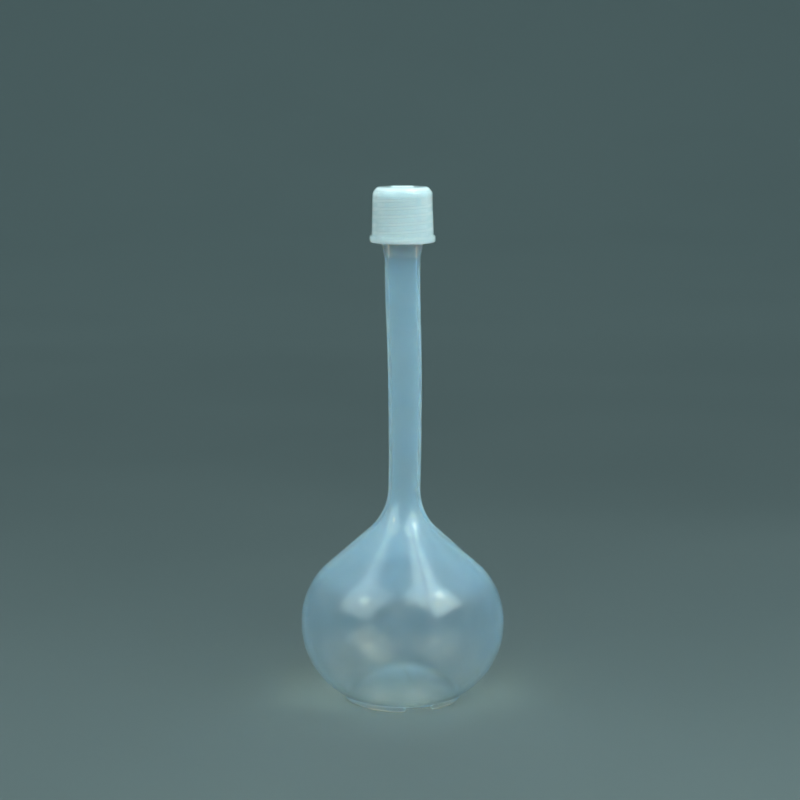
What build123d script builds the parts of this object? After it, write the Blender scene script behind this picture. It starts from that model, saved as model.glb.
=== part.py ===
from build123d import *
import math
import os

# 500 ml plastic volumetric flask with a screw cap.
# Millimetres, +Z up.  The origin is the centre of the foot ring, on the bench plane.
# The flask is blow-moulded: its parting plane is YZ, so the seams run down at -Y and +Y,
# through the middle of the two notches in the foot ring.

# Bulb, as radii and heights of the outer surface
BELLY_RADIUS = 52.7
BELLY_HEIGHT = 39.3
LOWER_ARC_RADIUS = 41.5
FOOT_CONE_ANGLE = math.radians(30.3)
UPPER_ARC_RADIUS = 42.7
UPPER_ARC_SWEEP = math.radians(25.3)
SHOULDER_ARC_RADIUS = 33.8
CONE_ANGLE = math.radians(48.0)
NECK_FILLET_RADIUS = 29.5
BELLY_WALL = 0.75
SHOULDER_WALL = 1.7

# Neck: a long tube that is a little wider at the top, with the same wall as the shoulder
NECK_BOTTOM_RADIUS = 8.2
NECK_TOP_RADIUS = 9.1
NECK_TOP_HEIGHT = 229.6
RING_MARK_HEIGHT = 192.8
RING_MARK_WIDTH = 0.5
RING_MARK_DEPTH = 0.15

# Threaded finish at the top of the neck
FINISH_HEIGHT = 239.5
FINISH_RADIUS = 11.4
MOUTH_RADIUS = 7.0
MOUTH_BOTTOM_HEIGHT = 232.5
LIP_HEIGHT = 260.0
LIP_ROUND = 0.8

# Base: a thin foot ring with two notches round a pushed-up floor
FOOT_RADIUS = 30.1
FOOT_WIDTH = 1.6
FOOT_HEIGHT = 1.7
FOOT_LEDGE = 0.5
FLOOR_THICKNESS = 1.8
FLOOR_RISE = 13.0
NOTCH_HALF_ANGLE_BOTTOM = 14.5
NOTCH_HALF_ANGLE_TOP = 12.0
PINCH_WIDTH = 1.0
PINCH_DROP = 0.7

# Thread, right-handed.  The ridge in the cap lies half a pitch from the ridge on the neck.
PITCH = 4.0
NECK_RIDGE_TOP_RADIUS = 12.6
NECK_RIDGE_ROOT_WIDTH = 2.0
NECK_RIDGE_TOP_WIDTH = 1.0
NECK_THREAD_START = 242.0
NECK_THREAD_TURNS = 3.25
CAP_BORE_RADIUS = 12.95
CAP_RIDGE_TOP_RADIUS = 11.75
CAP_RIDGE_ROOT_WIDTH = 1.8
CAP_RIDGE_TOP_WIDTH = 1.0
CAP_THREAD_START = 238.2
CAP_THREAD_END = 259.0
RIDGE_ROOT_OVERLAP = 0.3

# Cap, in its closed place
CAP_BOTTOM = 237.0
CAP_TOP = 265.0
CAP_SHOULDER_RADIUS = 15.05
CAP_SKIRT_RADIUS = 15.7
CAP_TOP_CHAMFER = 2.3
CAP_TOP_ROUND = 1.5
CAP_CEILING = 262.5
RIM_RADIUS = 16.65
RIM_HEIGHT = 3.4
RIM_TOP_ROUND = 0.3
RIM_BOTTOM_ROUND = 1.0
BADGE_RADIUS = 5.8
BADGE_HEIGHT = 0.5

# Sealing disc under the ceiling of the cap
SEAL_RADIUS = 12.6
SEAL_GAP = 0.15


def on_axis(lines):
    """The solid of revolution about Z of a closed outline drawn as (radius, height)."""
    return revolve(Plane.XZ * make_face(lines), Axis.Z)


def bulb_points(inset, foot_height):
    """Corners of the bulb wall, offset inwards by inset, from the foot up to the neck."""
    lower_radius = LOWER_ARC_RADIUS - inset
    upper_radius = UPPER_ARC_RADIUS - inset
    shoulder_radius = SHOULDER_ARC_RADIUS - inset
    fillet_radius = NECK_FILLET_RADIUS + inset
    belly = (BELLY_RADIUS - inset, BELLY_HEIGHT)
    foot_cone = (
        belly[0] - lower_radius * (1 - math.sin(FOOT_CONE_ANGLE)),
        belly[1] - lower_radius * math.cos(FOOT_CONE_ANGLE),
    )
    foot = (foot_cone[0] - (foot_cone[1] - foot_height) / math.tan(FOOT_CONE_ANGLE), foot_height)
    waist = (
        belly[0] - upper_radius * (1 - math.cos(UPPER_ARC_SWEEP)),
        belly[1] + upper_radius * math.sin(UPPER_ARC_SWEEP),
    )
    cone_low = (
        waist[0] - shoulder_radius * (math.cos(UPPER_ARC_SWEEP) - math.cos(CONE_ANGLE)),
        waist[1] + shoulder_radius * (math.sin(CONE_ANGLE) - math.sin(UPPER_ARC_SWEEP)),
    )
    neck_radius = NECK_BOTTOM_RADIUS - inset
    cone_high_radius = neck_radius + fillet_radius * (1 - math.cos(CONE_ANGLE))
    cone_high = (cone_high_radius, cone_low[1] + (cone_low[0] - cone_high_radius) / math.tan(CONE_ANGLE))
    neck = (neck_radius, cone_high[1] + fillet_radius * math.sin(CONE_ANGLE))
    return foot, foot_cone, belly, waist, cone_low, cone_high, neck


def bulb_lines(low_inset, high_inset, foot_height):
    """The bulb wall from the foot up to the neck: one inset up to the waist, another from the shoulder."""
    foot, foot_cone, belly, waist, *_ = bulb_points(low_inset, foot_height)
    *_, cone_low, cone_high, neck = bulb_points(high_inset, foot_height)
    middle_inset = (low_inset + high_inset) / 2
    return [
        Line(foot, foot_cone),
        RadiusArc(foot_cone, belly, -(LOWER_ARC_RADIUS - low_inset)),
        RadiusArc(belly, waist, -(UPPER_ARC_RADIUS - low_inset)),
        RadiusArc(waist, cone_low, -(SHOULDER_ARC_RADIUS - middle_inset)),
        Line(cone_low, cone_high),
        RadiusArc(cone_high, neck, NECK_FILLET_RADIUS + high_inset),
    ]


def floor_arc(edge, rise):
    """The pushed-up floor from its edge to the axis."""
    radius = (edge[0] ** 2 + rise**2) / (2 * rise)
    return RadiusArc((0, edge[1] + rise), edge, radius)


def thread_ridge(root_radius, top_radius, root_width, top_width, start, end, phase_height):
    """A helical ridge from start to end, turned so that its thread crosses +X at phase_height."""
    depth = top_radius - root_radius
    buried = -math.copysign(RIDGE_ROOT_OVERLAP, depth)
    path = Helix(PITCH, end - start, root_radius, center=(0, 0, start))
    section = make_face(
        Polyline(
            (buried, -root_width / 2),
            (0, -root_width / 2),
            (depth, -top_width / 2),
            (depth, top_width / 2),
            (0, root_width / 2),
            (buried, root_width / 2),
            close=True,
        )
    )
    frame = Plane(origin=path @ 0, x_dir=(1, 0, 0), z_dir=-(path % 0))
    ridge = sweep(frame * section, path=path, is_frenet=True)
    turn = 360 * (start - phase_height) / PITCH
    return Rot(0, 0, turn) * ridge


def sector(half_angle, height, direction):
    """A triangle from the axis to outside the foot ring, at one height and compass direction."""
    reach = (FOOT_RADIUS + 1) / math.cos(math.radians(half_angle))
    corners = []
    for bearing in (direction - half_angle, direction + half_angle):
        angle = math.radians(bearing)
        corners.append((reach * math.cos(angle), reach * math.sin(angle)))
    return Pos(0, 0, height) * make_face(Polyline((0, 0), *corners, close=True))


def foot_notch(direction):
    """The gap cut in the foot ring, a little wider at the bench than at its top."""
    bottom = sector(NOTCH_HALF_ANGLE_BOTTOM, 0, direction)
    top = sector(NOTCH_HALF_ANGLE_TOP, FOOT_HEIGHT, direction)
    return loft([bottom, top]) - Cylinder(FOOT_RADIUS - FOOT_WIDTH, 4 * FOOT_HEIGHT)


def finish_lines():
    """From the neck's outer top, over the lip and down the mouth to the neck's inner top."""
    outer_edge = (FINISH_RADIUS, LIP_HEIGHT - LIP_ROUND)
    inner_edge = (MOUTH_RADIUS, LIP_HEIGHT - LIP_ROUND)
    outer_top = (FINISH_RADIUS - LIP_ROUND, LIP_HEIGHT)
    inner_top = (MOUTH_RADIUS + LIP_ROUND, LIP_HEIGHT)
    return [
        Line((NECK_TOP_RADIUS, NECK_TOP_HEIGHT), (FINISH_RADIUS, FINISH_HEIGHT)),
        Line((FINISH_RADIUS, FINISH_HEIGHT), outer_edge),
        RadiusArc(outer_edge, outer_top, -LIP_ROUND),
        Line(outer_top, inner_top),
        RadiusArc(inner_top, inner_edge, -LIP_ROUND),
        Line(inner_edge, (MOUTH_RADIUS, MOUTH_BOTTOM_HEIGHT)),
        Line((MOUTH_RADIUS, MOUTH_BOTTOM_HEIGHT), (NECK_TOP_RADIUS - SHOULDER_WALL, NECK_TOP_HEIGHT)),
    ]


def shell():
    """Bulb, neck, mouth and foot ring as one thin wall turned round the axis."""
    foot_height = FOOT_HEIGHT + FOOT_LEDGE
    inner_foot_height = FOOT_HEIGHT + FLOOR_THICKNESS + FOOT_LEDGE
    foot, *_, neck = bulb_points(0, foot_height)
    inner_foot = bulb_points(BELLY_WALL, inner_foot_height)[0]
    inner_neck = bulb_points(SHOULDER_WALL, inner_foot_height)[-1]
    ring_radius = FOOT_RADIUS - FOOT_WIDTH
    floor_edge = (ring_radius, FOOT_HEIGHT)
    inner_floor_edge = (ring_radius, FOOT_HEIGHT + FLOOR_THICKNESS)
    return on_axis(
        [
            floor_arc(floor_edge, FLOOR_RISE),
            Line(floor_edge, (ring_radius, 0)),
            Line((ring_radius, 0), (FOOT_RADIUS, 0)),
            Line((FOOT_RADIUS, 0), (FOOT_RADIUS, FOOT_HEIGHT)),
            Line((FOOT_RADIUS, FOOT_HEIGHT), foot),
            *bulb_lines(0, 0, foot_height),
            Line(neck, (NECK_TOP_RADIUS, NECK_TOP_HEIGHT)),
            *finish_lines(),
            Line((NECK_TOP_RADIUS - SHOULDER_WALL, NECK_TOP_HEIGHT), inner_neck),
            *bulb_lines(BELLY_WALL, SHOULDER_WALL, inner_foot_height),
            Line(inner_foot, inner_floor_edge),
            floor_arc(inner_floor_edge, FLOOR_RISE),
            Line((0, FOOT_HEIGHT + FLOOR_THICKNESS + FLOOR_RISE), (0, FOOT_HEIGHT + FLOOR_RISE)),
        ]
    )


def ring_mark():
    """The groove round the neck that marks the full volume."""
    neck_bottom = bulb_points(0, FOOT_HEIGHT)[-1][1]
    slope = (NECK_TOP_RADIUS - NECK_BOTTOM_RADIUS) / (NECK_TOP_HEIGHT - neck_bottom)
    radius = NECK_BOTTOM_RADIUS + slope * (RING_MARK_HEIGHT - neck_bottom) - RING_MARK_DEPTH
    outer = Cylinder(NECK_TOP_RADIUS + 1, RING_MARK_WIDTH)
    return Pos(0, 0, RING_MARK_HEIGHT) * (outer - Cylinder(radius, RING_MARK_WIDTH + 1))


def pinch_line():
    """The weld bead across the underside of the floor, where the mould pinched the tube shut."""
    edge_radius = FOOT_RADIUS - FOOT_WIDTH
    bar = Pos(0, 0, FOOT_HEIGHT) * Box(PINCH_WIDTH, 2 * edge_radius, 4 * FLOOR_RISE)
    low_edge = (edge_radius, FOOT_HEIGHT - PINCH_DROP)
    high_edge = (edge_radius, FOOT_HEIGHT + FLOOR_THICKNESS / 2)
    band = on_axis(
        [
            floor_arc(low_edge, FLOOR_RISE),
            Line(low_edge, high_edge),
            floor_arc(high_edge, FLOOR_RISE),
            Line((0, high_edge[1] + FLOOR_RISE), (0, low_edge[1] + FLOOR_RISE)),
        ]
    )
    return bar & band


def neck_thread():
    """The ridge on the outside of the finish."""
    end = NECK_THREAD_START + PITCH * NECK_THREAD_TURNS
    return thread_ridge(
        FINISH_RADIUS,
        NECK_RIDGE_TOP_RADIUS,
        NECK_RIDGE_ROOT_WIDTH,
        NECK_RIDGE_TOP_WIDTH,
        NECK_THREAD_START,
        end,
        NECK_THREAD_START,
    )


def flask_body():
    """The blow-moulded flask."""
    body = shell() - ring_mark() - foot_notch(-90) - foot_notch(90)
    return body + pinch_line() + neck_thread()


def circles_at(body, height):
    """The circular edges of a turned body at one height."""
    return body.edges().filter_by(GeomType.CIRCLE).filter_by_position(Axis.Z, height - 0.01, height + 0.01)


def cap_shell():
    """Skirt, ceiling and grip rim of the cap, without its thread."""
    rim_top = CAP_BOTTOM + RIM_HEIGHT
    side_top = CAP_TOP - CAP_TOP_CHAMFER
    outline = Polyline(
        (0, CAP_TOP),
        (CAP_SHOULDER_RADIUS - CAP_TOP_CHAMFER, CAP_TOP),
        (CAP_SHOULDER_RADIUS, side_top),
        (CAP_SKIRT_RADIUS, rim_top),
        (RIM_RADIUS, rim_top),
        (RIM_RADIUS, CAP_BOTTOM),
        (CAP_BORE_RADIUS, CAP_BOTTOM),
        (CAP_BORE_RADIUS, CAP_CEILING),
        (0, CAP_CEILING),
        close=True,
    )
    body = on_axis(outline)
    body = fillet(circles_at(body, CAP_TOP), CAP_TOP_ROUND)
    body = fillet(circles_at(body, side_top), CAP_TOP_ROUND)
    body = fillet(circles_at(body, rim_top).sort_by(SortBy.RADIUS)[-1], RIM_TOP_ROUND)
    return fillet(circles_at(body, CAP_BOTTOM).sort_by(SortBy.RADIUS)[-1], RIM_BOTTOM_ROUND)


def screw_cap():
    """The cap in its closed place."""
    thread = thread_ridge(
        CAP_BORE_RADIUS,
        CAP_RIDGE_TOP_RADIUS,
        CAP_RIDGE_ROOT_WIDTH,
        CAP_RIDGE_TOP_WIDTH,
        CAP_THREAD_START,
        CAP_THREAD_END,
        NECK_THREAD_START + PITCH / 2,
    )
    badge = Pos(0, 0, CAP_TOP - 1) * Cylinder(
        BADGE_RADIUS, BADGE_HEIGHT + 1, align=(Align.CENTER, Align.CENTER, Align.MIN)
    )
    return cap_shell() + thread + badge


def cap_seal():
    """The soft disc that the cap presses on the lip."""
    low = LIP_HEIGHT + SEAL_GAP
    high = CAP_CEILING - SEAL_GAP
    return Pos(0, 0, low) * Cylinder(SEAL_RADIUS, high - low, align=(Align.CENTER, Align.CENTER, Align.MIN))


os.makedirs("parts", exist_ok=True)
export_step(flask_body(), "parts/flask_body.step")
export_step(screw_cap(), "parts/screw_cap.step")
export_step(cap_seal(), "parts/cap_seal.step")
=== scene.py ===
import math

import bpy
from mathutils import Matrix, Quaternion, Vector, noise


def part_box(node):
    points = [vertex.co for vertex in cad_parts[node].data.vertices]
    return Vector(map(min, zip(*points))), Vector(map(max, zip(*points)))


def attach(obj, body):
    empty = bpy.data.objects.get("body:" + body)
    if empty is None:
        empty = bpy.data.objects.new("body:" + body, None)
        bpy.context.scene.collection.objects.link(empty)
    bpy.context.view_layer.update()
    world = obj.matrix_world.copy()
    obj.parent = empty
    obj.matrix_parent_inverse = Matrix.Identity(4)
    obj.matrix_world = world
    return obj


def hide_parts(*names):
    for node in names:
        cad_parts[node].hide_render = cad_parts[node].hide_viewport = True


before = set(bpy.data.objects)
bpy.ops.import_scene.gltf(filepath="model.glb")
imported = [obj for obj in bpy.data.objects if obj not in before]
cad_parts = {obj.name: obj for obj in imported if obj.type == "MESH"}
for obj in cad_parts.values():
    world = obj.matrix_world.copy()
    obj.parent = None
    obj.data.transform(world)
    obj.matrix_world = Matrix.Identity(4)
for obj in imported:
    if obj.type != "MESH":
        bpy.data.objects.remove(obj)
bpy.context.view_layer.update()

MM = 0.001

# ---------------------------------------------------------------------------
# Dimensions in millimetres and degrees.  Overall places are read from the frame.
# ---------------------------------------------------------------------------
BELLY_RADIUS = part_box("flask_body")[1].x / MM
WIDEST_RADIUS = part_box("flask_body")[1].y / MM
LIP_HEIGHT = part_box("flask_body")[1].z / MM
CAP_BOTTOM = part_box("screw_cap")[0].z / MM
CAP_BADGE_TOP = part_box("screw_cap")[1].z / MM
RIM_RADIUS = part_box("screw_cap")[1].x / MM
SEAL_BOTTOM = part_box("cap_seal")[0].z / MM
SEAL_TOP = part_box("cap_seal")[1].z / MM
SEAL_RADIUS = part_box("cap_seal")[1].x / MM

# Bulb and neck: arcs of the outer wall, and the angles where they meet, in radians
BELLY_HEIGHT = 39.3
LOWER_ARC_RADIUS = 41.5
FOOT_CONE_ANGLE = math.radians(30.3)
UPPER_ARC_RADIUS = 42.7
UPPER_ARC_SWEEP = math.radians(25.3)
SHOULDER_ARC_RADIUS = 33.8
CONE_ANGLE = math.radians(48.0)
NECK_FILLET_RADIUS = 29.5
NECK_BOTTOM_RADIUS = 8.2
NECK_TOP_RADIUS = 9.1
NECK_TOP_HEIGHT = 229.6
BELLY_WALL = 0.75
SHOULDER_WALL = 1.7
SHOULDER_STEPS = 10

# Ring mark: a shallow groove with short flanks
MARK_HEIGHT = 192.8
MARK_WIDTH = 0.5
MARK_DEPTH = 0.04
MARK_FLANK = 0.12

# The neck's bow to one side: how far, where it begins, and over what height it grows and fades
NECK_BOW = 1.3
NECK_BOW_BOTTOM = 70.0
NECK_BOW_TOP = NECK_TOP_HEIGHT - 2.0
NECK_BOW_GROWS = 60.0
NECK_BOW_FADES = 70.0

# Waviness of the blown wall: its depth outside and inside, and where it grows and fades
WAVE_OUTSIDE = 0.10
WAVE_INSIDE = 0.12
WAVE_SEED_OUTSIDE = 0.0
WAVE_SEED_INSIDE = 40.0
WAVE_BOTTOM = 6.0
WAVE_GROWS = 12.0
WAVE_FADES = 20.0
WAVE_NECK_SHARE = 0.2
WAVE_LOBES = 1.6
WAVE_RATE = 0.03

# Threaded finish
FINISH_HEIGHT = 239.5
FINISH_RADIUS = 11.4
MOUTH_RADIUS = 7.0
MOUTH_BOTTOM_HEIGHT = 232.5
LIP_ROUND = 0.8
PITCH = 4.0
THREAD_DEPTH = 1.2
THREAD_ROOT_WIDTH = 1.9
THREAD_TOP_WIDTH = 0.9
THREAD_STEP = 0.16
THREAD_FADE_TURNS = 0.09
NECK_THREAD_START = 242.0
NECK_THREAD_TURNS = 3.25

# Base
FOOT_RADIUS = 30.1
FOOT_WIDTH = 1.6
FOOT_HEIGHT = 1.7
FOOT_LEDGE = 0.5
FOOT_ROUND = 0.25
FLOOR_EDGE_STEP = 0.3
INNER_FLOOR_EDGE_STEP = 1.0
FLOOR_THICKNESS = 1.8
FLOOR_RISE = 13.0
NOTCH_BOTTOM_ANGLE = 14.5
NOTCH_TOP_ANGLE = 12.0

# Mould seams at -Y and +Y
SEAM_WIDTH = 0.36
SEAM_HEIGHT = 0.18
SEAM_FLASH_HEIGHT = 0.5
SEAM_FLASH_LOW = 58.0
SEAM_FLASH_HIGH = 77.0
SEAM_FLASH_GROWS = 4.0
SEAM_FLASH_FADES = 8.0
SEAM_FLASH_SPREAD = 0.7
SEAM_FLASH_RATE = 0.35
SEAM_FLASH_SEED = 3.0
SEAM_WOBBLE = 0.5
SEAM_WOBBLE_RATE = 0.11
SEAM_WOBBLE_SEED = 7.0
SEAM_LOW_SHARE = 0.25
SEAM_GROWS_FROM = 40.0
SEAM_GROWS = 20.0
THREAD_SEAM_SHARE = 0.5

# The pinch line across the floor, where the mould closed on it
PINCH_FADE = 3.0
PINCH_WIDTH = 0.5
PINCH_DROP = 0.35

# Cap
CAP_TOP = 265.0
CAP_CEILING = 262.5
CAP_BORE_RADIUS = 12.95
CAP_SHOULDER_RADIUS = 15.05
CAP_SKIRT_RADIUS = 15.7
CAP_CHAMFER = 2.3
CAP_ROUND = 0.9
BEVEL_TOP_REACH = 1.55
BEVEL_TOP_DROP = 0.62
BEVEL_LOW_REACH = 0.55
BEVEL_LOW_RISE = 0.3
BEVEL_CORNER_DROP = 0.2
SKIRT_TOP_REACH = 0.03
SKIRT_TOP_DROP = 1.2
RIM_HEIGHT = 3.4
RIM_TOP_ROUND = 0.35
RIM_BOTTOM_ROUND = 1.0
CAP_MOUTH_ROUND = 0.5
CAP_THREAD_START = 238.2
CAP_THREAD_END = 259.0
BADGE_RADIUS = 5.8
BADGE_ROUND = 0.15
BADGE_GROOVE_RADIUS = 4.6
BADGE_GROOVE_REACH = 0.5
BADGE_GROOVE_DEPTH = 0.25

# Sealing disc
SEAL_ROUND = 0.4
SEAL_DENT = 0.12
SEAL_DENT_EDGE = 0.9

# Meshes: columns near a seam in degrees from it, and columns over the rest of a quarter turn
SEAM_COLUMNS = [0, 0.2, 0.42, 0.7, 1.05, 1.5, 2.1, 2.9, 4.0, 5.6, 7.6, 9.8]
FAR_COLUMNS = 33
CREASE_ANGLE = math.radians(31)

# ---------------------------------------------------------------------------
# Studio, in metres, watts and degrees
# ---------------------------------------------------------------------------
# Paper tones: the first is painted shade, darker near the object; the second is the paper's own paler
# tone; the pair after them gives where the painted shade fades out, in metres
PAPER_PAINTED_SHADE = (0.34, 0.415, 0.43)
PAPER_FAR = (0.47, 0.565, 0.58)
PAINTED_SHADE_FADE = (0.15, 1.6)
FLOOR_FLAT_RADIUS = 3.0
FLOOR_BEND_RADIUS = 1.5
FLOOR_WALL_TOP = 4.0
FLOOR_SIDES = 96

LIGHT_COLOUR = (0.78, 1.0, 0.98)
LIGHT_AIM_HEIGHT = 0.09

# Each light: name, bearing right of the camera, elevation, distance, width, height, power, roll
GLOSS_BOXES = [
    ("soft_box_left", -60, 44, 1.0, 0.80, 0.95, 10, 0),
    ("soft_box_right", 54, 50, 1.0, 0.75, 1.0, 16.5, 12),
    ("hot_spot_left", -58, 43, 0.98, 0.16, 0.16, 1.1, 0),
    ("hot_spot_right", 64, 50, 0.98, 0.18, 0.18, 2.2, 0),
]
EDGE_BOXES = [
    ("edge_left", -105, 36, 1.2, 1.2, 1.2, 4.8, 0),
    ("edge_right", 105, 36, 1.2, 1.2, 1.2, 6.4, 0),
]
WASH_BOXES = [("floor_wash", 5, 40, 0.72, 0.5, 0.5, 0.68, 0)]
WASH_BOXES += [(f"room_wash_{n + 1}", 90 * n, 40, 4.6, 2.2, 2.2, 10, 0) for n in range(4)]
WORLD_COLOUR = (0.62, 0.80, 0.83, 1)
WORLD_STRENGTH = 0.09

# Camera: its place round the object, seen from the bench
CAMERA_AZIMUTH = -16.3
CAMERA_DISTANCE = 1.036
CAMERA_HEIGHT = 0.3167
CAMERA_PITCH = 8.806
CAMERA_LENS = 92.1
CAMERA_SIDE_STEP = -0.0013
CAMERA_BEARING = math.radians(CAMERA_AZIMUTH)
VIEW_RIGHT = Vector((math.cos(CAMERA_BEARING), math.sin(CAMERA_BEARING), 0))


# ---------------------------------------------------------------------------
# Profiles: lists of (radius, height, zone), from the axis round to the axis
# ---------------------------------------------------------------------------
def line(start, end, steps, zone):
    """Points along a straight run, without its first point."""
    points = []
    for i in range(1, steps + 1):
        share = i / steps
        radius = start[0] + (end[0] - start[0]) * share
        height = start[1] + (end[1] - start[1]) * share
        points.append((radius, height, zone))
    return points


def arc(centre, radius, start_angle, end_angle, steps, zone):
    """Points along an arc, without its first point.  Angles are from the outward radius, upwards."""
    points = []
    for i in range(1, steps + 1):
        angle = start_angle + (end_angle - start_angle) * i / steps
        x = centre[0] + radius * math.cos(angle)
        points.append((x, centre[1] + radius * math.sin(angle), zone))
    return points


def bend(start, control, end, steps, zone):
    """Points along a quadratic curve, without its first point."""
    points = []
    for i in range(1, steps + 1):
        t = i / steps
        a, b, c = (1 - t) ** 2, 2 * t * (1 - t), t**2
        radius = a * start[0] + b * control[0] + c * end[0]
        height = a * start[1] + b * control[1] + c * end[1]
        points.append((radius, height, zone))
    return points


def bulb_corners(inset, foot_height):
    """Corners of the bulb wall, offset inwards by inset, from the foot up to the neck."""
    belly = (BELLY_RADIUS - inset, BELLY_HEIGHT)
    lower = LOWER_ARC_RADIUS - inset
    upper = UPPER_ARC_RADIUS - inset
    shoulder = SHOULDER_ARC_RADIUS - inset
    fillet = NECK_FILLET_RADIUS + inset
    foot_cone = (
        belly[0] - lower * (1 - math.sin(FOOT_CONE_ANGLE)),
        belly[1] - lower * math.cos(FOOT_CONE_ANGLE),
    )
    foot = (foot_cone[0] - (foot_cone[1] - foot_height) / math.tan(FOOT_CONE_ANGLE), foot_height)
    waist = (
        belly[0] - upper * (1 - math.cos(UPPER_ARC_SWEEP)),
        belly[1] + upper * math.sin(UPPER_ARC_SWEEP),
    )
    cone_low = (
        waist[0] - shoulder * (math.cos(UPPER_ARC_SWEEP) - math.cos(CONE_ANGLE)),
        waist[1] + shoulder * (math.sin(CONE_ANGLE) - math.sin(UPPER_ARC_SWEEP)),
    )
    neck_radius = NECK_BOTTOM_RADIUS - inset
    cone_high_radius = neck_radius + fillet * (1 - math.cos(CONE_ANGLE))
    cone_high = (cone_high_radius, cone_low[1] + (cone_low[0] - cone_high_radius) / math.tan(CONE_ANGLE))
    neck = (neck_radius, cone_high[1] + fillet * math.sin(CONE_ANGLE))
    return foot, foot_cone, belly, waist, cone_low, cone_high, neck


def bulb_profile(low_inset, high_inset, foot_height, zone):
    """The bulb wall from the foot up to the neck, without its first point.

    One inset holds up to the waist, another from the shoulder on.
    """
    foot, foot_cone, belly, waist, *_ = bulb_corners(low_inset, foot_height)
    *_, cone_low, cone_high, neck = bulb_corners(high_inset, foot_height)
    lower = LOWER_ARC_RADIUS - low_inset
    upper = UPPER_ARC_RADIUS - low_inset
    shoulder = SHOULDER_ARC_RADIUS - low_inset
    fillet = NECK_FILLET_RADIUS + high_inset
    shoulder_centre = (
        waist[0] - shoulder * math.cos(UPPER_ARC_SWEEP),
        waist[1] - shoulder * math.sin(UPPER_ARC_SWEEP),
    )
    shoulder_points = []
    for i in range(1, SHOULDER_STEPS + 1):
        share = i / SHOULDER_STEPS
        angle = UPPER_ARC_SWEEP + (CONE_ANGLE - UPPER_ARC_SWEEP) * share
        reach = shoulder - (high_inset - low_inset) * smooth_step(share)
        x = shoulder_centre[0] + reach * math.cos(angle)
        shoulder_points.append((x, shoulder_centre[1] + reach * math.sin(angle), zone))
    return [
        *line(foot, foot_cone, 4, zone),
        *arc((belly[0] - lower, BELLY_HEIGHT), lower, FOOT_CONE_ANGLE - math.pi / 2, 0, 26, zone),
        *arc((belly[0] - upper, BELLY_HEIGHT), upper, 0, UPPER_ARC_SWEEP, 12, zone),
        *shoulder_points,
        *line(cone_low, cone_high, 14, zone),
        *arc((neck[0] + fillet, neck[1]), fillet, math.pi + CONE_ANGLE, math.pi, 16, zone),
    ]


def floor_profile(edge, rise, steps, zone):
    """The pushed-up floor from the axis to its edge, with the point on the axis first."""
    radius = (edge[0] ** 2 + rise**2) / (2 * rise)
    centre_height = edge[1] + rise - radius
    edge_angle = math.acos(edge[0] / radius)
    points = [(0.0, edge[1] + rise, zone)]
    return points + arc((0, centre_height), radius, math.pi / 2, edge_angle, steps, zone)


def neck_profile(bottom, top):
    """The neck's outside, with five rows of its own for the groove of the ring mark."""
    slope = (top[0] - bottom[0]) / (top[1] - bottom[1])
    low = MARK_HEIGHT - MARK_WIDTH / 2
    high = MARK_HEIGHT + MARK_WIDTH / 2
    rows = []
    for height in (low - MARK_FLANK, low, MARK_HEIGHT, high, high + MARK_FLANK):
        inside = MARK_DEPTH if low <= height <= high else 0
        rows.append((bottom[0] + slope * (height - bottom[1]) - inside, height, "outside"))
    return [
        *line(bottom, rows[0][:2], 20, "outside"),
        *rows[1:],
        *line(rows[-1][:2], top, 16, "outside"),
    ]


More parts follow.
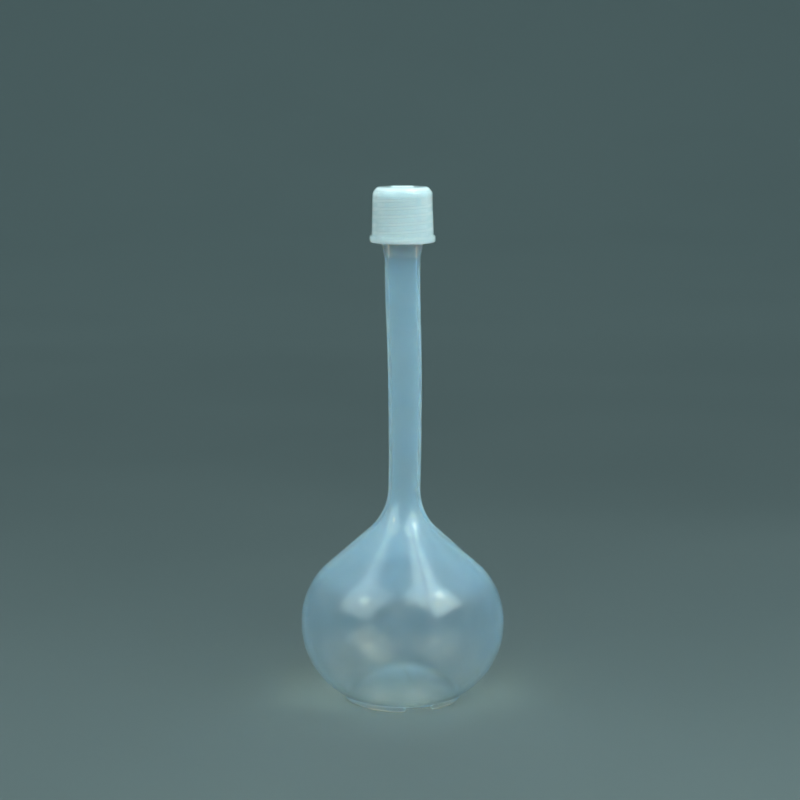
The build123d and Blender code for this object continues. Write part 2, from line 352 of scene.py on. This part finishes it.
def flask_profile():
    """Outline of the whole shell: under the floor, out, up, over the lip, and down the inside."""
    foot_height = FOOT_HEIGHT + FOOT_LEDGE
    inner_foot_height = FOOT_HEIGHT + FLOOR_THICKNESS + FOOT_LEDGE
    foot, *_, neck = bulb_corners(0, foot_height)
    inner_foot = bulb_corners(BELLY_WALL, inner_foot_height)[0]
    inner_neck = bulb_corners(SHOULDER_WALL, inner_foot_height)[-1]
    ring = FOOT_RADIUS - FOOT_WIDTH
    floor_edge = (ring - FLOOR_EDGE_STEP, FOOT_HEIGHT)
    inner_floor_edge = (ring - INNER_FLOOR_EDGE_STEP, FOOT_HEIGHT + FLOOR_THICKNESS)
    ring_top = (ring, FOOT_HEIGHT - FLOOR_EDGE_STEP)
    ring_foot = (ring + FOOT_ROUND, 0)
    foot_edge = (FOOT_RADIUS - FOOT_ROUND, 0)
    foot_top = (FOOT_RADIUS, FOOT_HEIGHT)
    top = (NECK_TOP_RADIUS, NECK_TOP_HEIGHT)
    inner_top = (NECK_TOP_RADIUS - SHOULDER_WALL, NECK_TOP_HEIGHT)
    finish = (FINISH_RADIUS, FINISH_HEIGHT)
    lip_side = (FINISH_RADIUS, LIP_HEIGHT - LIP_ROUND)
    lip_outside = (FINISH_RADIUS - LIP_ROUND, LIP_HEIGHT)
    lip_inside = (MOUTH_RADIUS + LIP_ROUND, LIP_HEIGHT)
    mouth_top = (MOUTH_RADIUS, LIP_HEIGHT - LIP_ROUND)
    mouth_bottom = (MOUTH_RADIUS, MOUTH_BOTTOM_HEIGHT)
    thread_rows = round((LIP_HEIGHT - LIP_ROUND - FINISH_HEIGHT) / THREAD_STEP)
    return [
        *floor_profile(floor_edge, FLOOR_RISE, 14, "floor"),
        *line(floor_edge, ring_top, 2, "ring"),
        *line(ring_top, (ring, FOOT_ROUND), 3, "ring"),
        *arc((ring_foot[0], FOOT_ROUND), FOOT_ROUND, math.pi, 1.5 * math.pi, 4, "ring"),
        *line(ring_foot, foot_edge, 3, "ring"),
        *arc((foot_edge[0], FOOT_ROUND), FOOT_ROUND, -math.pi / 2, 0, 4, "ring"),
        *line((FOOT_RADIUS, FOOT_ROUND), foot_top, 4, "ring"),
        *line(foot_top, foot, 2, "outside"),
        *bulb_profile(0, 0, foot_height, "outside"),
        *neck_profile(neck, top),
        *line(top, finish, 10, "outside"),
        *line(finish, lip_side, thread_rows, "thread"),
        *arc((lip_outside[0], lip_side[1]), LIP_ROUND, 0, math.pi / 2, 5, "inside"),
        *line(lip_outside, lip_inside, 3, "inside"),
        *arc((lip_inside[0], mouth_top[1]), LIP_ROUND, math.pi / 2, math.pi, 5, "inside"),
        *line(mouth_top, mouth_bottom, 12, "inside"),
        *line(mouth_bottom, inner_top, 4, "inside"),
        *line(inner_top, inner_neck, 30, "inside"),
        *reversed(bulb_profile(BELLY_WALL, SHOULDER_WALL, inner_foot_height, "inside")[:-1]),
        (inner_foot[0], inner_foot[1], "inside"),
        *line(inner_foot, inner_floor_edge, 4, "inside"),
        *reversed(floor_profile(inner_floor_edge, FLOOR_RISE, 14, "inside")[:-1]),
    ]


def cap_profile():
    """Outline of the cap, from the middle of its ceiling down the bore, out and up to its badge."""
    rim_top = CAP_BOTTOM + RIM_HEIGHT
    side_top = CAP_TOP - CAP_CHAMFER
    thread_rows = round((CAP_CEILING - CAP_BOTTOM - CAP_MOUTH_ROUND) / THREAD_STEP)
    flat_edge = (CAP_SHOULDER_RADIUS - CAP_CHAMFER - CAP_ROUND, CAP_TOP)
    bevel_top = (flat_edge[0] + BEVEL_TOP_REACH, CAP_TOP - BEVEL_TOP_DROP)
    bevel_low = (CAP_SHOULDER_RADIUS - BEVEL_LOW_REACH, side_top + BEVEL_LOW_RISE)
    skirt_top = (CAP_SHOULDER_RADIUS + SKIRT_TOP_REACH, side_top - SKIRT_TOP_DROP)
    groove_inside = (BADGE_GROOVE_RADIUS - BADGE_GROOVE_REACH, CAP_BADGE_TOP)
    groove_bottom = (BADGE_GROOVE_RADIUS, CAP_BADGE_TOP - BADGE_GROOVE_DEPTH)
    groove_outside = (BADGE_GROOVE_RADIUS + BADGE_GROOVE_REACH, CAP_BADGE_TOP)
    badge_edge = (BADGE_RADIUS - BADGE_ROUND, CAP_BADGE_TOP)
    badge_side = (BADGE_RADIUS, CAP_BADGE_TOP - BADGE_ROUND)
    badge_foot = (BADGE_RADIUS, CAP_TOP)
    rim_edge = (RIM_RADIUS - RIM_TOP_ROUND, rim_top)
    rim_side_top = (RIM_RADIUS, rim_top - RIM_TOP_ROUND)
    rim_side_low = (RIM_RADIUS, CAP_BOTTOM + RIM_BOTTOM_ROUND)
    rim_foot = (RIM_RADIUS - RIM_BOTTOM_ROUND, CAP_BOTTOM)
    mouth_edge = (CAP_BORE_RADIUS + CAP_MOUTH_ROUND, CAP_BOTTOM)
    bore_low = (CAP_BORE_RADIUS, CAP_BOTTOM + CAP_MOUTH_ROUND)
    bore_top = (CAP_BORE_RADIUS, CAP_CEILING)
    downwards = [
        (0.0, CAP_BADGE_TOP, "outside"),
        *line((0, CAP_BADGE_TOP), groove_inside, 5, "outside"),
        *line(groove_inside, groove_bottom, 3, "outside"),
        *line(groove_bottom, groove_outside, 3, "outside"),
        *line(groove_outside, badge_edge, 2, "outside"),
        *arc((badge_edge[0], badge_side[1]), BADGE_ROUND, math.pi / 2, 0, 3, "outside"),
        *line(badge_side, badge_foot, 2, "outside"),
        *line(badge_foot, flat_edge, 8, "outside"),
        *bend(flat_edge, (flat_edge[0] + CAP_ROUND, CAP_TOP), bevel_top, 6, "outside"),
        *line(bevel_top, bevel_low, 4, "outside"),
        *bend(bevel_low, (CAP_SHOULDER_RADIUS, side_top - BEVEL_CORNER_DROP), skirt_top, 7, "outside"),
        *line(skirt_top, (CAP_SKIRT_RADIUS, rim_top), 24, "outside"),
        *line((CAP_SKIRT_RADIUS, rim_top), rim_edge, 2, "outside"),
        *arc((rim_edge[0], rim_side_top[1]), RIM_TOP_ROUND, math.pi / 2, 0, 4, "outside"),
        *line(rim_side_top, rim_side_low, 5, "outside"),
        *arc((rim_foot[0], rim_side_low[1]), RIM_BOTTOM_ROUND, 0, -math.pi / 2, 7, "outside"),
        *line(rim_foot, mouth_edge, 4, "outside"),
        *arc((mouth_edge[0], bore_low[1]), CAP_MOUTH_ROUND, 1.5 * math.pi, math.pi, 4, "outside"),
        *line(bore_low, bore_top, thread_rows, "thread"),
        *line(bore_top, (0, CAP_CEILING), 10, "inside"),
    ]
    return downwards[::-1]


def seal_profile():
    """Outline of the sealing disc, with the ring that the lip presses into it."""
    top_edge = (SEAL_RADIUS - SEAL_ROUND, SEAL_TOP)
    side_top = (SEAL_RADIUS, SEAL_TOP - SEAL_ROUND)
    side_low = (SEAL_RADIUS, SEAL_BOTTOM + SEAL_ROUND)
    low_edge = (SEAL_RADIUS - SEAL_ROUND, SEAL_BOTTOM)
    dent_outside = (FINISH_RADIUS - SEAL_DENT_EDGE, SEAL_BOTTOM + SEAL_DENT)
    dent_start = (FINISH_RADIUS - LIP_ROUND / 2, SEAL_BOTTOM)
    dent_inside = (MOUTH_RADIUS + LIP_ROUND, SEAL_BOTTOM + SEAL_DENT)
    dent_end = (MOUTH_RADIUS, SEAL_BOTTOM)
    downwards = [
        (0.0, SEAL_TOP, "outside"),
        *line((0, SEAL_TOP), top_edge, 6, "outside"),
        *arc((top_edge[0], side_top[1]), SEAL_ROUND, math.pi / 2, 0, 5, "outside"),
        *line(side_top, side_low, 3, "outside"),
        *arc((low_edge[0], side_low[1]), SEAL_ROUND, 0, -math.pi / 2, 5, "outside"),
        *bend(low_edge, dent_start, dent_outside, 4, "outside"),
        *bend(dent_outside, dent_inside, dent_end, 5, "outside"),
        *line(dent_end, (0, SEAL_BOTTOM), 8, "outside"),
    ]
    return downwards[::-1]


# ---------------------------------------------------------------------------
# Relief: what is added to a turned profile at one bearing
# ---------------------------------------------------------------------------
def smooth_step(value):
    """0 below 0, 1 above 1, and an S curve between."""
    share = min(1.0, max(0.0, value))
    return share * share * (3 - 2 * share)


def from_seam(bearing):
    """Degrees to the nearest seam, where bearing 0 is -Y."""
    return abs((bearing + 90) % 180 - 90)


def ridge_height(bearing, height, phase_height, start, end):
    """Share of the full thread height at one place, 0 to 1."""
    turn = (bearing - 90) / 360
    raw = (height - phase_height) / PITCH - turn
    nearest = round(raw)
    away = abs(raw - nearest) * PITCH
    flank = (THREAD_ROOT_WIDTH - THREAD_TOP_WIDTH) / 2
    section = smooth_step((THREAD_ROOT_WIDTH / 2 - away) / flank)
    middle = (nearest + turn) * PITCH + phase_height
    fade = THREAD_FADE_TURNS * PITCH
    return section * smooth_step((middle - start) / fade) * smooth_step((end - middle) / fade)


def seam_relief(bearing, radius, height):
    """The fine ridge that each mould seam leaves, taller where the mould flashed on the shoulder."""
    across = radius * math.radians(from_seam(bearing))
    side = 1 if 90 < bearing % 360 < 270 else 0
    wobble = noise.noise(Vector((height * SEAM_WOBBLE_RATE, SEAM_WOBBLE_SEED * side, 0)))
    rise = smooth_step((height - SEAM_GROWS_FROM) / SEAM_GROWS)
    crest = SEAM_HEIGHT * (1 + SEAM_WOBBLE * wobble) * (SEAM_LOW_SHARE + (1 - SEAM_LOW_SHARE) * rise)
    flash = smooth_step((height - SEAM_FLASH_LOW) / SEAM_FLASH_GROWS)
    flash *= smooth_step((SEAM_FLASH_HIGH - height) / SEAM_FLASH_FADES)
    ragged = noise.noise(Vector((height * SEAM_FLASH_RATE, SEAM_FLASH_SEED + side, 0)))
    crest += flash * SEAM_FLASH_HEIGHT * abs(ragged)
    width = SEAM_WIDTH * (1 + SEAM_FLASH_SPREAD * flash)
    return crest * math.exp(-((across / width) ** 2))


def wall_wave(bearing, height, seed):
    """The slow waviness of a blow-moulded wall."""
    angle = math.radians(bearing)
    place = (math.cos(angle) * WAVE_LOBES, math.sin(angle) * WAVE_LOBES, height * WAVE_RATE + seed)
    return noise.noise(Vector(place))


def notch_share(bearing):
    """1 in the middle of a foot notch, 0 outside it, with straight flanks."""
    away = from_seam(bearing)
    share = (NOTCH_BOTTOM_ANGLE - away) / (NOTCH_BOTTOM_ANGLE - NOTCH_TOP_ANGLE)
    return min(1.0, max(0.0, share))


def flask_relief(radius, height, zone, bearing):
    """Final radius and height of one point of the flask."""
    if zone == "thread":
        end = NECK_THREAD_START + PITCH * NECK_THREAD_TURNS
        share = ridge_height(bearing, height, NECK_THREAD_START, NECK_THREAD_START, end)
        seam = THREAD_SEAM_SHARE * seam_relief(bearing, radius, height)
        return radius + THREAD_DEPTH * share + seam, height
    if zone == "ring":
        return radius, max(height, FOOT_HEIGHT * notch_share(bearing))
    if zone == "floor":
        angle = math.radians(bearing)
        across = abs(radius * math.sin(angle))
        fade = smooth_step((FOOT_RADIUS - PINCH_FADE - radius) / PINCH_FADE)
        return radius, height - PINCH_DROP * math.exp(-((across / PINCH_WIDTH) ** 2)) * fade
    if zone == "outside":
        swell = smooth_step((height - WAVE_BOTTOM) / WAVE_GROWS)
        swell *= smooth_step((NECK_TOP_HEIGHT - height) / WAVE_FADES)
        swell *= min(1.0, radius / BELLY_RADIUS + WAVE_NECK_SHARE)
        wave = WAVE_OUTSIDE * swell * wall_wave(bearing, height, WAVE_SEED_OUTSIDE)
        return min(WIDEST_RADIUS, radius + wave + seam_relief(bearing, radius, height)), height
    wave = WAVE_INSIDE * wall_wave(bearing, height, WAVE_SEED_INSIDE) * min(1.0, radius / BELLY_RADIUS)
    return radius + wave, height


def cap_relief(radius, height, zone, bearing):
    """Final radius and height of one point of the cap."""
    if zone == "thread":
        phase = NECK_THREAD_START + PITCH / 2
        share = ridge_height(bearing, height, phase, CAP_THREAD_START, CAP_THREAD_END)
        return radius - THREAD_DEPTH * share, height
    return radius, height


def no_relief(radius, height, zone, bearing):
    """A plain turned piece."""
    return radius, height


def neck_shift(height):
    """How far the neck bows to one side, as a share of NECK_BOW."""
    growth = smooth_step((height - NECK_BOW_BOTTOM) / NECK_BOW_GROWS)
    return growth * smooth_step((NECK_BOW_TOP - height) / NECK_BOW_FADES)


# ---------------------------------------------------------------------------
# Mesh building
# ---------------------------------------------------------------------------
def bearings():
    """Column bearings in degrees: close together at the seams, with one on each notch corner."""
    rest = 90 - NOTCH_BOTTOM_ANGLE
    far = [NOTCH_BOTTOM_ANGLE + rest * i / FAR_COLUMNS for i in range(1, FAR_COLUMNS + 1)]
    quarter = SEAM_COLUMNS + [NOTCH_TOP_ANGLE, NOTCH_BOTTOM_ANGLE] + far
    half = quarter + [180 - b for b in reversed(quarter[1:-1])]
    return half + [180 + b for b in half]


def corner_rows(profile):
    """Rows of the profile where it turns too sharply to be shaded as a curve."""
    found = []
    for i in range(1, len(profile) - 1):
        before, here, after = profile[i - 1], profile[i], profile[i + 1]
        first = math.atan2(here[1] - before[1], here[0] - before[0])
        second = math.atan2(after[1] - here[1], after[0] - here[0])
        turn = abs((second - first + math.pi) % (2 * math.pi) - math.pi)
        if turn > CREASE_ANGLE and here[0] > 1:
            found.append(i)
    return found


def turned(name, profile, relief, bow=0.0):
    """A closed mesh turned round Z from a profile that starts and ends on the axis."""
    columns = bearings()
    vertices = []
    rows = []
    for radius, height, zone in profile:
        shift = VIEW_RIGHT * (bow * neck_shift(height))
        if radius < 1e-6:
            rows.append([len(vertices)] * len(columns))
            vertices.append((shift.x * MM, shift.y * MM, height * MM))
            continue
        row = []
        for bearing in columns:
            r, z = relief(radius, height, zone, bearing)
            angle = math.radians(bearing)
            x = r * math.sin(angle) + shift.x
            y = shift.y - r * math.cos(angle)
            row.append(len(vertices))
            vertices.append((x * MM, y * MM, z * MM))
        rows.append(row)
    faces = []
    for lower, upper in zip(rows, rows[1:]):
        for i, a in enumerate(lower):
            b = lower[(i + 1) % len(columns)]
            c = upper[(i + 1) % len(columns)]
            d = upper[i]
            corners = [a, b, c, d]
            faces.append([v for k, v in enumerate(corners) if v != corners[k - 1]])
    mesh = bpy.data.meshes.new(name)
    mesh.from_pydata(vertices, [], faces)
    mesh.update()
    mesh.shade_smooth()
    creased = set()
    for i in corner_rows(profile):
        creased.update(rows[i])
    for edge in mesh.edges:
        a, b = edge.vertices
        if a in creased and b in creased:
            edge.use_edge_sharp = True
    piece = bpy.data.objects.new(name, mesh)
    bpy.context.scene.collection.objects.link(piece)
    return piece


# ---------------------------------------------------------------------------
# Materials
# ---------------------------------------------------------------------------
def new_material(name):
    """An empty node material, with its output node and the functions that add and link nodes."""
    material = bpy.data.materials.new(name)
    material.use_nodes = True
    tree = material.node_tree
    tree.nodes.clear()
    output = tree.nodes.new("ShaderNodeOutputMaterial")

    def add(kind, **settings):
        node = tree.nodes.new(kind)
        for key, value in settings.items():
            setattr(node, key, value)
        return node

    return material, add, tree.links.new, output


def noise_field(add, link, scale, detail, stretch=(1, 1, 1)):
    """Fractal noise over the object, in metres, stretched along the axes given."""
    place = add("ShaderNodeTexCoord")
    mapping = add("ShaderNodeMapping")
    mapping.inputs["Scale"].default_value = stretch
    field = add("ShaderNodeTexNoise")
    field.inputs["Scale"].default_value = scale
    field.inputs["Detail"].default_value = detail
    link(place.outputs["Object"], mapping.inputs["Vector"])
    link(mapping.outputs["Vector"], field.inputs["Vector"])
    return field.outputs["Fac"]


def ramp(add, link, source, span, result):
    """Map a span of a field onto a span of results."""
    node = add("ShaderNodeMapRange")
    node.inputs["From Min"].default_value = span[0]
    node.inputs["From Max"].default_value = span[1]
    node.inputs["To Min"].default_value = result[0]
    node.inputs["To Max"].default_value = result[1]
    link(source, node.inputs["Value"])
    return node.outputs["Result"]


def total(add, link, first, second):
    """The sum of two fields."""
    node = add("ShaderNodeMath", operation="ADD")
    link(first, node.inputs[0])
    link(second, node.inputs[1])
    return node.outputs["Value"]


def tone(add, link, share, first, second):
    """A colour that goes from first to second as share goes from 0 to 1."""
    node = add("ShaderNodeMix", data_type="RGBA")
    node.inputs["A"].default_value = (*first, 1)
    node.inputs["B"].default_value = (*second, 1)
    link(share, node.inputs["Factor"])
    return node.outputs["Result"]


def bumps(add, link, height, distance, strength):
    """A normal tilted by a height field that spans the distance given, in metres."""
    node = add("ShaderNodeBump")
    node.inputs["Strength"].default_value = strength
    node.inputs["Distance"].default_value = distance
    link(height, node.inputs["Height"])
    return node.outputs["Normal"]


def fluoropolymer(name, scatter, tint, roughness, grain):
    """Milky clear moulded plastic: glossy skin, hazy wall, and a blue glow from light scattered inside."""
    material, add, link, output = new_material(name)
    shader = add("ShaderNodeBsdfPrincipled")
    shader.inputs["Transmission Weight"].default_value = 1.0
    shader.inputs["IOR"].default_value = 1.35
    clouds = noise_field(add, link, 70, 3)
    haze = ramp(add, link, clouds, (0.35, 0.68), (0.0, 1.0))
    link(tone(add, link, haze, (0.95, 0.98, 1.0), (0.88, 0.94, 0.98)), shader.inputs["Base Color"])
    handling = ramp(add, link, noise_field(add, link, 160, 5), (0.50, 0.72), (0.0, 0.05))
    scratch_field = noise_field(add, link, 900, 2, (1, 1, 0.06))
    scratches = ramp(add, link, scratch_field, (0.66, 0.74), (0.0, 0.06))
    base = ramp(add, link, clouds, (0.3, 0.7), (roughness - 0.015, roughness + 0.02))
    wear = total(add, link, handling, scratches)
    link(total(add, link, base, wear), shader.inputs["Roughness"])
    peel = noise_field(add, link, 260, 2, (1, 1, 0.45))
    link(bumps(add, link, peel, grain, 0.5), shader.inputs["Normal"])
    volume = add("ShaderNodeVolumeScatter")
    volume.inputs["Color"].default_value = (*tint, 1)
    volume.inputs["Density"].default_value = scatter
    volume.inputs["Anisotropy"].default_value = 0.0
    link(shader.outputs["BSDF"], output.inputs["Surface"])
    link(volume.outputs["Volume"], output.inputs["Volume"])
    return material


def matt(name, first, second, roughness, scale, grain):
    """A matt surface with a slow change of tone and a fine grain."""
    material, add, link, output = new_material(name)
    shader = add("ShaderNodeBsdfPrincipled")
    share = ramp(add, link, noise_field(add, link, scale, 4), (0.35, 0.65), (0.0, 1.0))
    link(tone(add, link, share, first, second), shader.inputs["Base Color"])
    sheen = ramp(add, link, share, (0, 1), (roughness - 0.06, roughness + 0.06))
    link(sheen, shader.inputs["Roughness"])
    link(bumps(add, link, noise_field(add, link, scale * 20, 3), grain, 0.4), shader.inputs["Normal"])
    link(shader.outputs["BSDF"], output.inputs["Surface"])
    return material


# ---------------------------------------------------------------------------
# The pieces
# ---------------------------------------------------------------------------
def make_flask():
    """The moulded flask, from the foot ring to the lip."""
    piece = turned("flask_moulding", flask_profile(), flask_relief, NECK_BOW)
    bluish = (0.38, 0.67, 1.0)
    plastic = fluoropolymer("flask_plastic", scatter=300, tint=bluish, roughness=0.145, grain=0.00006)
    piece.data.materials.append(plastic)
    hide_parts("flask_body")
    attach(piece, "flask")


def make_cap():
    """The screw cap with its own thread."""
    piece = turned("cap_moulding", cap_profile(), cap_relief)
    milky = (0.69, 0.92, 1.0)
    plastic = fluoropolymer("cap_plastic", scatter=620, tint=milky, roughness=0.12, grain=0.00004)
    piece.data.materials.append(plastic)
    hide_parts("screw_cap")
    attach(piece, "cap")


def make_seal():
    """The sealing disc under the cap's ceiling."""
    piece = turned("sealing_disc", seal_profile(), no_relief)
    pale, dull = (0.46, 0.51, 0.53), (0.40, 0.46, 0.49)
    piece.data.materials.append(matt("seal_white", pale, dull, roughness=0.55, scale=90, grain=0.00005))
    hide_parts("cap_seal")
    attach(piece, "seal")


# ---------------------------------------------------------------------------
# Studio
# ---------------------------------------------------------------------------
def paper_with_painted_shade():
    """Pale matt paper with a fine tooth, darkened near the object by painted shade that fades out towards
    the walls.
    """
    material, add, link, output = new_material("floor_paper")
    shader = add("ShaderNodeBsdfPrincipled")
    place = add("ShaderNodeTexCoord")
    length = add("ShaderNodeVectorMath", operation="LENGTH")
    link(place.outputs["Object"], length.inputs[0])
    # Painted shade: the paper is darker near the object and fades to its own paler tone towards the walls
    far = ramp(add, link, length.outputs["Value"], PAINTED_SHADE_FADE, (0.0, 1.0))
    mottle = ramp(add, link, noise_field(add, link, 3, 4), (0.35, 0.65), (-0.06, 0.06))
    share = total(add, link, far, mottle)
    link(tone(add, link, share, PAPER_PAINTED_SHADE, PAPER_FAR), shader.inputs["Base Color"])
    link(ramp(add, link, mottle, (-0.06, 0.06), (0.66, 0.78)), shader.inputs["Roughness"])
    link(bumps(add, link, noise_field(add, link, 90, 3), 0.0002, 0.4), shader.inputs["Normal"])
    link(shader.outputs["BSDF"], output.inputs["Surface"])
    return material


def make_stage():
    """A pale floor that curves up into a wall all round, far from the object."""
    outline = [(FLOOR_FLAT_RADIUS * i / 8, 0.0) for i in range(1, 9)]
    for i in range(1, 13):
        angle = math.pi / 2 * i / 12
        radius = FLOOR_FLAT_RADIUS + FLOOR_BEND_RADIUS * math.sin(angle)
        outline.append((radius, FLOOR_BEND_RADIUS * (1 - math.cos(angle))))
    outline.append((FLOOR_FLAT_RADIUS + FLOOR_BEND_RADIUS, FLOOR_WALL_TOP))
    vertices = [(0.0, 0.0, 0.0)]
    for radius, height in outline:
        for i in range(FLOOR_SIDES):
            angle = 2 * math.pi * i / FLOOR_SIDES
            vertices.append((radius * math.cos(angle), radius * math.sin(angle), height))
    faces = [(0, 1 + i, 1 + (i + 1) % FLOOR_SIDES) for i in range(FLOOR_SIDES)]
    for ring in range(len(outline) - 1):
        lower = 1 + ring * FLOOR_SIDES
        upper = lower + FLOOR_SIDES
        for i in range(FLOOR_SIDES):
            j = (i + 1) % FLOOR_SIDES
            faces.append((lower + i, upper + i, upper + j, lower + j))
    mesh = bpy.data.meshes.new("studio_floor")
    mesh.from_pydata(vertices, [], faces)
    mesh.shade_smooth()
    floor = bpy.data.objects.new("studio_floor", mesh)
    bpy.context.scene.collection.objects.link(floor)
    floor.data.materials.append(paper_with_painted_shade())


def toward(azimuth, elevation):
    """Unit vector towards a light, by its bearing right of the camera and its elevation."""
    bearing = math.radians(CAMERA_AZIMUTH + azimuth)
    rise = math.radians(elevation)
    level = Vector((math.sin(bearing), -math.cos(bearing), 0))
    return level * math.cos(rise) + Vector((0, 0, math.sin(rise)))


def soft_box(name, azimuth, elevation, distance, width, height, power, roll):
    """A soft box facing the flask's shoulder, out of the camera's sight."""
    light = bpy.data.lights.new(name, "AREA")
    light.shape = "RECTANGLE"
    light.size = width
    light.size_y = height
    light.energy = power
    light.color = LIGHT_COLOUR
    lamp = bpy.data.objects.new(name, light)
    direction = toward(azimuth, elevation)
    turn = Quaternion((0, 0, 1), math.radians(roll))
    lamp.location = Vector((0, 0, LIGHT_AIM_HEIGHT)) + direction * distance
    lamp.rotation_mode = "QUATERNION"
    lamp.rotation_quaternion = direction.to_track_quat("Z", "Y") @ turn
    lamp.visible_camera = False
    bpy.context.scene.collection.objects.link(lamp)
    return lamp


def make_lights():
    """Soft boxes that show as highlights, edge lights for the plastic alone, and washes for the room."""
    gloss = [soft_box(*box) for box in GLOSS_BOXES]
    edges = [soft_box(*box) for box in EDGE_BOXES]
    washes = [soft_box(*box) for box in WASH_BOXES]
    for lamp in gloss + edges:
        lamp.visible_diffuse = False
    for lamp in edges + washes:
        lamp.visible_glossy = False
    world = bpy.data.worlds.new("studio_world")
    world.use_nodes = True
    background = world.node_tree.nodes["Background"]
    background.inputs["Color"].default_value = WORLD_COLOUR
    background.inputs["Strength"].default_value = WORLD_STRENGTH
    bpy.context.scene.world = world


def make_camera():
    """A long lens a metre away, looking a little down."""
    data = bpy.data.cameras.new("camera")
    data.sensor_width = 36
    data.lens = CAMERA_LENS
    camera = bpy.data.objects.new("camera", data)
    stand = toward(0, 0) * CAMERA_DISTANCE
    camera.location = stand + VIEW_RIGHT * CAMERA_SIDE_STEP + Vector((0, 0, CAMERA_HEIGHT))
    camera.rotation_euler = (math.radians(90 - CAMERA_PITCH), 0, CAMERA_BEARING)
    bpy.context.scene.collection.objects.link(camera)
    bpy.context.scene.camera = camera


def set_look():
    """Plain colours, and enough bounces for light inside the milky walls."""
    scene = bpy.context.scene
    scene.view_settings.view_transform = "Standard"
    scene.cycles.max_bounces = 40
    scene.cycles.transmission_bounces = 40
    scene.cycles.volume_bounces = 24
    scene.cycles.caustics_refractive = True
    scene.cycles.use_denoising = True


make_flask()
make_cap()
make_seal()
make_stage()
make_lights()
make_camera()
set_look()
